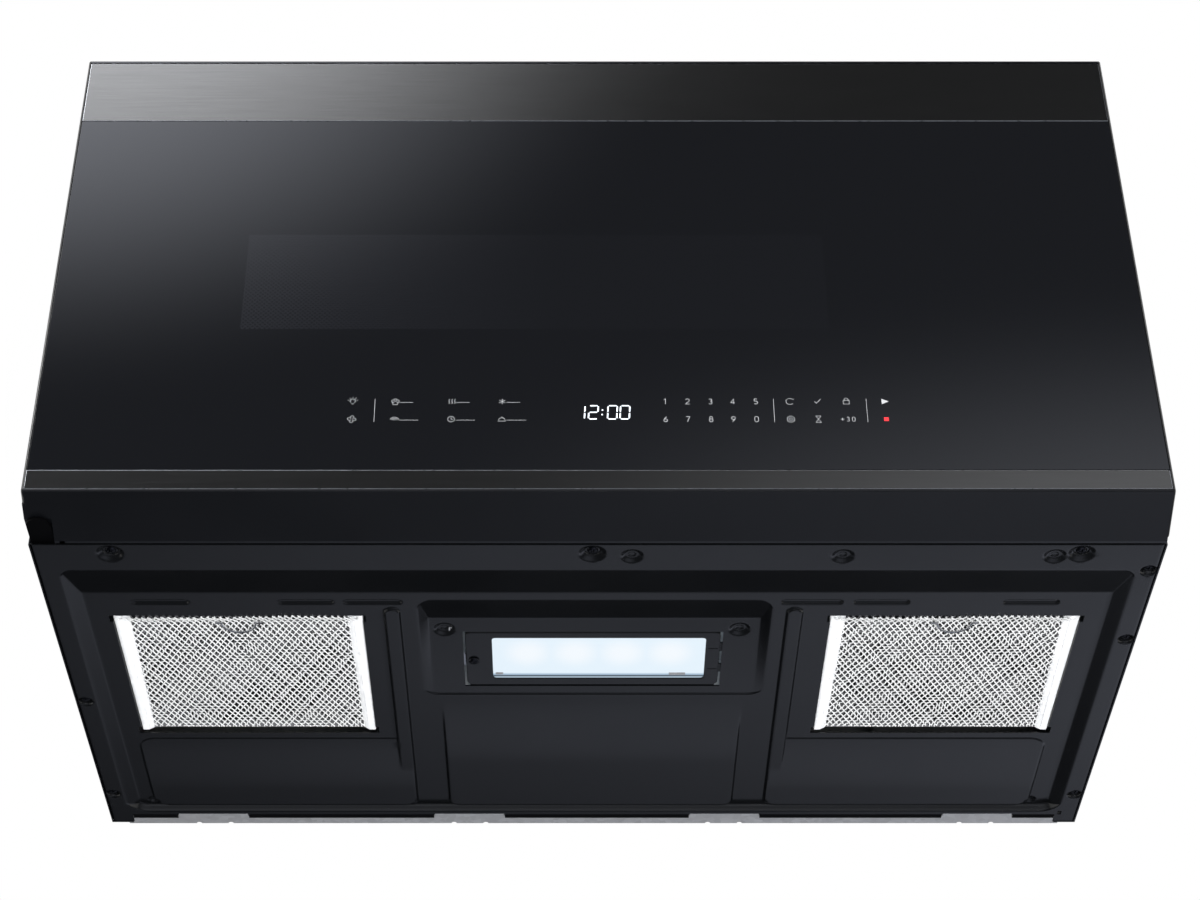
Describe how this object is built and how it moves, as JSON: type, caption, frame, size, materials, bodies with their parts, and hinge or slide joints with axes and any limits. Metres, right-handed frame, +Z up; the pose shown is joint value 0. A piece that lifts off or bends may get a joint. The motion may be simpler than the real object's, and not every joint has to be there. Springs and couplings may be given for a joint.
{
  "type": "over the range microwave",
  "caption": "Over the range microwave with a full-width side-hinged door, black glass front, and a cooktop hood underneath with two grease filters and a lamp, on its wall plate.",
  "frame": {"origin": "in the wall plane, midway between the side panels, level with the rim of the base plate", "axes": "+X to the right as the cook sees it, +Y into the wall, +Z up"},
  "size_m": [0.759, 0.429, 0.433],
  "materials": {
    "black_painted_steel": "matte black powder coat",
    "zinc_plated_steel": "zinc plated, dull",
    "dark_brushed_steel": "dark stainless, brushed across",
    "black_glass": "black printed, glossy",
    "clear_glass": "clear",
    "lamp_glass": "frosted",
    "black_plastic": "moulded, fine texture",
    "white_plastic": "moulded",
    "aluminium": "mill finish",
    "cavity_enamel": "grey enamel",
    "blackened_steel": "blackened",
    "copper": "enamelled wire",
    "laminated_steel": "varnished laminations",
    "circuit_board": "solder mask",
    "charcoal": "granules in a grid",
    "mica": "sheet",
    "spring_steel": "bright"
  },
  "bodies": {
    "housing": {"wall_plate": "zinc_plated_steel", "outer_wrap": "black_painted_steel", "cord_grommet": "black_plastic", "back_panel": "zinc_plated_steel", "oven_cavity": "cavity_enamel", "face_plate": "black_painted_steel", "base_plate": "black_painted_steel", "base_screws": "blackened_steel", "lamp_clip": "spring_steel", "lamp_housing": "zinc_plated_steel", "lamp_board": "circuit_board", "turntable_motor": "laminated_steel", "component_tray": "zinc_plated_steel", "transformer_core": "laminated_steel", "transformer_windings": "copper", "capacitor": "aluminium", "noise_filter_board": "circuit_board", "waveguide": "zinc_plated_steel", "waveguide_cover": "mica", "magnetron": "aluminium", "fan_shroud": "zinc_plated_steel", "fan_motor": "laminated_steel", "cavity_lamp": "zinc_plated_steel", "blower_motor": "laminated_steel", "blower_scrolls": "zinc_plated_steel", "top_vent": "black_painted_steel", "charcoal_filter": "charcoal", "hinge_brackets": "black_painted_steel", "interlock_board": "white_plastic", "interlock_switches": "black_plastic"},
    "door": {"door_shell": "black_plastic", "bottom_trim": "dark_brushed_steel", "front_glass": "black_glass", "top_trim": "dark_brushed_steel", "door_pan": "zinc_plated_steel", "window_screen": "black_plastic", "inner_pane": "clear_glass", "choke_cover": "black_plastic", "display_module": "black_plastic", "control_board": "circuit_board", "latch_spring": "spring_steel"},
    "latch": {"latch_bar": "white_plastic"},
    "plungers": {"interlock_plungers": "white_plastic"},
    "turntable": {"turntable_coupler": "white_plastic", "glass_tray": "clear_glass"},
    "roller_ring": {"roller_ring": "white_plastic"},
    "roller_1": {"roller_1": "white_plastic"},
    "roller_2": {"roller_2": "white_plastic"},
    "roller_3": {"roller_3": "white_plastic"},
    "blower_rotor": {"blower_rotor": "white_plastic"},
    "cooling_fan": {"cooling_fan": "white_plastic"},
    "filter_left": {"filter_frame_left": "aluminium", "filter_mesh_left": "aluminium"},
    "filter_right": {"filter_frame_right": "aluminium", "filter_mesh_right": "aluminium"},
    "ring_left": {"pull_ring_left": "spring_steel"},
    "ring_right": {"pull_ring_right": "spring_steel"},
    "lamp_cover": {"lamp_cover": "black_painted_steel", "lamp_glass": "lamp_glass", "lamp_screw": "blackened_steel"}
  },
  "joints": [
    {"name": "door_hinge", "type": "hinge", "parent": "housing", "child": "door", "pos_m": [-0.3705, -0.4045, 0], "axis": [0, 0, -1], "range_deg": [0, 100]},
    {"name": "latch_slide", "type": "slide", "parent": "door", "child": "latch", "axis": [0, 0, 1], "range_m": [0, 0.004], "stiffness_N_per_m": 400, "springref_m": -0.005, "deforming": ["latch_spring"]},
    {"name": "plunger_slide", "type": "slide", "parent": "housing", "child": "plungers", "axis": [0, 1, 0], "range_m": [0, 0.0035], "stiffness_N_per_m": 150, "springref_m": -0.002},
    {"name": "turntable_spin", "type": "hinge", "parent": "housing", "child": "turntable", "pos_m": [-0.045, -0.208, 0.1], "axis": [0, 0, 1], "continuous": true},
    {"name": "roller_ring_spin", "type": "hinge", "parent": "housing", "child": "roller_ring", "pos_m": [-0.045, -0.208, 0.1023], "axis": [0, 0, 1], "continuous": true},
    {"name": "roller_1_spin", "type": "hinge", "parent": "roller_ring", "child": "roller_1", "pos_m": [-0.045, -0.096, 0.1023], "axis": [0, 1, 0], "continuous": true},
    {"name": "roller_2_spin", "type": "hinge", "parent": "roller_ring", "child": "roller_2", "pos_m": [-0.142, -0.264, 0.1023], "axis": [-0.866, -0.5, 0], "continuous": true},
    {"name": "roller_3_spin", "type": "hinge", "parent": "roller_ring", "child": "roller_3", "pos_m": [0.05199, -0.264, 0.1023], "axis": [0.866, -0.5, 0], "continuous": true},
    {"name": "blower_spin", "type": "hinge", "parent": "housing", "child": "blower_rotor", "pos_m": [0, -0.078, 0.391], "axis": [1, 0, 0], "continuous": true},
    {"name": "cooling_fan_spin", "type": "hinge", "parent": "housing", "child": "cooling_fan", "pos_m": [0.3, -0.072, 0.29], "axis": [0, -1, 0], "continuous": true},
    {"name": "filter_left_drop", "type": "slide", "parent": "housing", "child": "filter_left", "axis": [0, 0, -1], "range_m": [0, 0.06]},
    {"name": "filter_right_drop", "type": "slide", "parent": "housing", "child": "filter_right", "axis": [0, 0, -1], "range_m": [0, 0.06]},
    {"name": "ring_left_fold", "type": "hinge", "parent": "filter_left", "child": "ring_left", "pos_m": [-0.251, -0.282, 0.0061], "axis": [-1, 0, 0], "range_deg": [0, 90]},
    {"name": "ring_right_fold", "type": "hinge", "parent": "filter_right", "child": "ring_right", "pos_m": [0.251, -0.282, 0.0061], "axis": [-1, 0, 0], "range_deg": [0, 90]},
    {"name": "lamp_cover_hinge", "type": "hinge", "parent": "housing", "child": "lamp_cover", "pos_m": [0.0888, -0.22877, 0.0093], "axis": [0, -0.999, 0.045], "range_deg": [0, 75]}
  ],
  "couplings": [
    {"joint": "roller_ring_spin", "follows": "turntable_spin", "ratio": 0.5},
    {"joint": "roller_1_spin", "follows": "turntable_spin", "ratio": -8},
    {"joint": "roller_2_spin", "follows": "turntable_spin", "ratio": -8},
    {"joint": "roller_3_spin", "follows": "turntable_spin", "ratio": -8}
  ]
}
